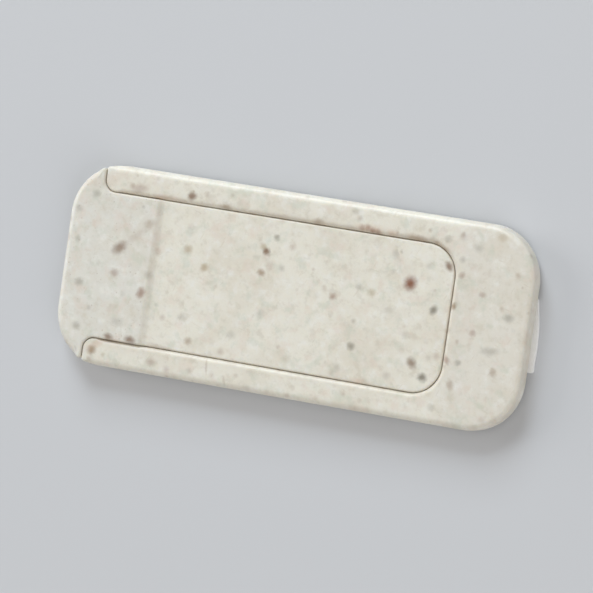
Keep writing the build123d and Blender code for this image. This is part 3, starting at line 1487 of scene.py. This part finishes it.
@dataclass(frozen=True)
class Studio:
    """The floor, the light and the camera."""

    view: tuple[float, float, float] = (0.3801, 0.0566, 0.9232)
    target: tuple[float, float, float] = (0.2, 0.0, 1.0)
    distance: float = 371.6
    roll: float = -8.2
    lens: float = 272.0
    clip: Pair = (0.01, 20.0)
    sky: float = 0.365
    sky_tint: Colour = (1.0, 0.955, 0.90)
    backdrop: Colour = (0.72, 0.73, 0.75)
    floor_reach: float = 4000.0
    lamps: tuple[Lamp, ...] = (
        Lamp("key_lamp", (-0.25, 0.83, 0.49), 0.74, tint=(0.86, 0.935, 1.0)),
        Lamp("side_lamp", (-0.90, 0.15, 0.32), 0.34),
        Lamp("fill_lamp", (0.70, -0.45, 0.55), 0.38, size=0.8, tint=(0.97, 0.985, 1.0)),
    )

    def build(self) -> None:
        """Sets up the floor, the lamps, the sky and the camera."""
        self.lay_floor()
        for lamp in self.lamps:
            lamp.hang()
        self.paint_sky()
        self.aim_camera()
        bpy.context.scene.view_settings.view_transform = "Standard"

    def lay_floor(self) -> None:
        """Lays a square floor under the tape, as a grid of two by two points."""
        reach = np.array((-self.floor_reach, self.floor_reach))
        x, y = np.meshgrid(reach, reach)
        skin = Skin()
        skin.add(np.dstack((x, y, np.zeros_like(x))))
        floor = skin.piece("floor")
        floor.data.materials.append(PaleFloor().material())

    def paint_sky(self) -> None:
        """Lights evenly from all round, and shows a pale backdrop to the camera and in reflections."""
        world = bpy.data.worlds.new("studio")
        bpy.context.scene.world = world
        shader = Shader(world)
        light = shader.add("ShaderNodeBackground", {}, {"Color": (*self.sky_tint, 1.0), "Strength": self.sky})
        shown = shader.add("ShaderNodeBackground", {}, {"Color": (*self.backdrop, 1.0)})
        camera = shader.add("ShaderNodeLightPath", {}, {}, "Is Camera Ray")
        mirrored = shader.sibling(camera, "Is Glossy Ray") | shader.sibling(camera, "Is Transmission Ray")
        mixed = shader.add("ShaderNodeMixShader", {}, {0: camera | mirrored, 1: light, 2: shown})
        shader.finish("ShaderNodeOutputWorld", mixed)

    def aim_camera(self) -> None:
        """Looks at the target along the view, with the part's Y up, and then rolls about the view."""
        camera = bpy.data.objects.new("camera", bpy.data.cameras.new("camera"))
        camera.data.lens = self.lens
        camera.data.clip_start, camera.data.clip_end = self.clip
        back = Vector(self.view).normalized()
        right = Vector((0.0, 1.0, 0.0)).cross(back).normalized()
        turned = Matrix((right, back.cross(right), back)).transposed().to_4x4()
        place = Matrix.Translation((Vector(self.target) + back * self.distance) * MM)
        camera.matrix_world = place @ turned @ Matrix.Rotation(-math.radians(self.roll), 4, "Z")
        bpy.context.scene.collection.objects.link(camera)
        bpy.context.scene.camera = camera


# This cover's own chips, the painted shade on its ends, and cuts


FRAME_FLECKS = (
    Fleck(-10.0, 6.9, 0.54, 0.44, 20.0, Tone.HUSK, 0.82),
    Fleck(-14.9, 6.85, 1.10, 0.50, 8.0, Tone.RUST, 0.34),
    Fleck(-12.3, 6.4, 1.50, 0.40, 5.0, Tone.CLAY, 0.24),
    Fleck(-17.5, 7.2, 1.10, 0.70, 30.0, Tone.CLAY, 0.12),
    Fleck(6.3, 6.55, 1.80, 0.50, 4.0, Tone.CLAY, 0.22),
    Fleck(5.55, 6.55, 0.42, 0.34, 0.0, Tone.RUST, 0.45),
    Fleck(6.05, 6.62, 0.38, 0.36, 0.0, Tone.RUST, 0.50),
    Fleck(6.45, 6.45, 0.46, 0.34, 0.0, Tone.RUST, 0.58),
    Fleck(6.9, 6.42, 0.38, 0.32, 0.0, Tone.RUST, 0.45),
    Fleck(8.2, 6.5, 0.70, 0.36, 0.0, Tone.CLAY, 0.25),
    Fleck(10.4, 6.4, 1.20, 0.40, -6.0, Tone.BRAN, 0.50),
    Fleck(12.55, 6.1, 1.30, 0.36, -30.0, Tone.BRAN, 0.38),
    Fleck(13.16, 6.77, 0.45, 0.40, 0.0, Tone.ASH, 0.40),
    Fleck(13.77, -7.07, 0.45, 0.40, 0.0, Tone.ASH, 0.32),
    Fleck(20.24, -7.0, 0.60, 0.40, 40.0, Tone.BRAN, 0.45),
    Fleck(14.45, -3.05, 0.50, 0.36, -40.0, Tone.RUST, 0.50),
    Fleck(4.75, 7.8, 0.50, 0.36, 0.0, Tone.ASH, 0.32),
    Fleck(1.6, 6.5, 0.60, 0.35, 0.0, Tone.BRAN, 0.40),
    Fleck(-6.8, 6.45, 0.55, 0.40, 0.0, Tone.BRAN, 0.55),
    Fleck(14.4, 1.4, 0.42, 0.36, 60.0, Tone.BRAN, 0.80),
    Fleck(14.8, 4.0, 0.40, 0.32, 30.0, Tone.RUST, 0.42),
    Fleck(19.3, 1.15, 0.56, 0.48, 0.0, Tone.ASH, 0.54),
    Fleck(18.6, -3.4, 0.42, 0.52, 0.0, Tone.BRAN, 0.46),
    Fleck(18.1, -1.75, 1.00, 0.46, 10.0, Tone.ASH, 0.42),
    Fleck(15.1, -5.0, 0.42, 0.54, 15.0, Tone.BRAN, 0.50),
    Fleck(15.5, -3.1, 0.38, 0.34, 0.0, Tone.ASH, 0.55),
    Fleck(17.8, 7.5, 0.50, 0.40, 0.0, Tone.STRAW, 0.45),
    Fleck(15.85, 6.4, 0.60, 0.45, 0.0, Tone.ASH, 0.34),
    Fleck(16.75, 2.7, 0.42, 0.34, 0.0, Tone.RUST, 0.38),
    Fleck(16.4, -0.5, 0.42, 0.36, 0.0, Tone.RUST, 0.38),
    Fleck(-17.2, -7.25, 0.56, 0.46, 40.0, Tone.BRAN, 0.74),
    Fleck(-16.9, -6.7, 1.30, 0.42, 35.0, Tone.CLAY, 0.26),
    Fleck(-11.6, -7.4, 0.60, 0.45, 0.0, Tone.RUST, 0.38),
    Fleck(-6.55, -6.95, 1.00, 0.14, 96.0, Tone.BRAN, 0.30),
    Fleck(-4.8, -7.9, 0.50, 0.14, 100.0, Tone.BRAN, 0.25),
)

SLIDE_FLECKS = (
    Fleck(10.35, 2.65, 0.80, 0.70, 60.0, Tone.RUST, 1.0),
    Fleck(-15.9, 1.65, 0.95, 0.58, 38.0, Tone.HUSK, 0.66),
    Fleck(-14.6, 2.8, 2.40, 0.40, 38.0, Tone.RUST, 0.14),
    Fleck(-13.45, 4.05, 0.70, 0.45, 20.0, Tone.BRAN, 0.32),
    Fleck(-15.27, -4.57, 0.65, 0.55, 0.0, Tone.ASH, 0.30),
    Fleck(-20.1, 4.4, 0.45, 0.40, 0.0, Tone.ASH, 0.38),
    Fleck(-9.42, -3.23, 0.55, 0.45, 0.0, Tone.ASH, 0.28),
    Fleck(7.24, -5.95, 1.10, 0.30, -3.0, Tone.CLAY, 0.24),
    Fleck(7.11, 1.4, 0.50, 0.42, 0.0, Tone.STRAW, 0.50),
    Fleck(8.75, 0.2, 0.45, 0.40, 0.0, Tone.ASH, 0.25),
    Fleck(10.6, -1.58, 0.50, 0.42, 0.0, Tone.ASH, 0.25),
    Fleck(-16.05, -0.5, 0.50, 0.42, 0.0, Tone.RUST, 0.42),
    Fleck(-13.4, -1.8, 0.62, 0.46, 70.0, Tone.RUST, 0.66),
    Fleck(-19.2, -1.75, 0.52, 0.44, 0.0, Tone.ASH, 0.55),
    Fleck(-18.7, 5.85, 0.55, 0.44, 40.0, Tone.ASH, 0.42),
    Fleck(-18.9, -5.45, 0.50, 0.42, 0.0, Tone.ASH, 0.46),
    Fleck(-2.7, 3.35, 0.48, 0.40, -40.0, Tone.HUSK, 0.88),
    Fleck(-3.05, 3.7, 0.40, 0.32, 0.0, Tone.STRAW, 0.60),
    Fleck(-1.95, 4.6, 0.36, 0.34, 0.0, Tone.ASH, 0.60),
    Fleck(-2.9, 1.5, 0.46, 0.38, 0.0, Tone.BRAN, 0.72),
    Fleck(-9.75, 2.4, 0.52, 0.46, 0.0, Tone.STRAW, 0.72),
    Fleck(-8.05, 1.15, 0.48, 0.38, 30.0, Tone.STRAW, 0.78),
    Fleck(-12.45, 1.85, 0.40, 0.40, 0.0, Tone.RUST, 0.22),
    Fleck(-8.6, -5.15, 0.48, 0.38, 0.0, Tone.BRAN, 0.55),
    Fleck(-13.8, -5.85, 0.66, 0.40, -10.0, Tone.HUSK, 0.76),
    Fleck(-15.8, -5.9, 0.58, 0.38, -10.0, Tone.HUSK, 0.74),
    Fleck(-11.2, -6.0, 1.60, 0.24, -4.0, Tone.BRAN, 0.30),
    Fleck(-2.4, -1.85, 0.44, 0.40, 0.0, Tone.ASH, 0.25),
    Fleck(-4.85, -4.0, 0.55, 0.45, 0.0, Tone.ASH, 0.28),
    Fleck(3.75, 0.55, 0.42, 0.36, 0.0, Tone.RUST, 0.52),
    Fleck(5.95, 1.65, 0.42, 0.38, 0.0, Tone.ASH, 0.38),
    Fleck(5.95, -3.25, 0.48, 0.44, 0.0, Tone.PEAT, 0.60),
    Fleck(12.7, 0.8, 0.54, 0.42, 60.0, Tone.PEAT, 0.74),
    Fleck(11.45, -3.8, 0.66, 0.46, -40.0, Tone.HUSK, 0.68),
    Fleck(12.55, -4.8, 0.54, 0.46, 0.0, Tone.PEAT, 0.78),
    Fleck(13.5, 4.55, 0.58, 0.40, -50.0, Tone.HUSK, 0.80),
)
FRAME_PATTERN = (31.0, 7.0, 2.0)
SLIDE_PATTERN = (-12.0, 43.0, 5.0)
# Painted shade on the frame's end block and on the slide's head
BLOCK_END_SHADE = PaintedEndShade(13.6, 15.2, (0.645, 0.60, 0.547))
HEAD_END_SHADE = PaintedEndShade(-12.4, -13.3, (0.60, 0.61, 0.61))
TAPE_SKEWS = {"long_tape_pad": 0.0, "short_tape_pad": 0.5}


def main() -> None:
    """Builds the studio and the object's pieces, and reports each one."""
    logging.basicConfig(level=logging.INFO, format="%(name)s: %(message)s")
    Studio().build()

    track = TrackFrame(Berth("track_frame", "frame", "straw_plastic"))
    _, frame_top = track.berth.box()
    frame_plastic = StrawPlastic(
        "straw_plastic_frame", FRAME_PATTERN, frame_top[2], FRAME_FLECKS, BLOCK_END_SHADE
    )
    track.berth.settle(track.build(), frame_plastic.material())

    cover = SlideCover(Berth("slide_cover", "slide", "straw_plastic"), outline_half=frame_top[1])
    _, slide_top = cover.berth.box()
    slide_plastic = StrawPlastic(
        "straw_plastic_slide", SLIDE_PATTERN, slide_top[2], SLIDE_FLECKS, HEAD_END_SHADE
    )
    cover.berth.settle(cover.build(), slide_plastic.material())

    foam = FoamTape().material()
    for node, skew in TAPE_SKEWS.items():
        pad = TapePad(Berth(node, "frame", "foam_tape"), skew=skew)
        pad.berth.settle(pad.build(), foam)


if __name__ == "__main__":
    main()
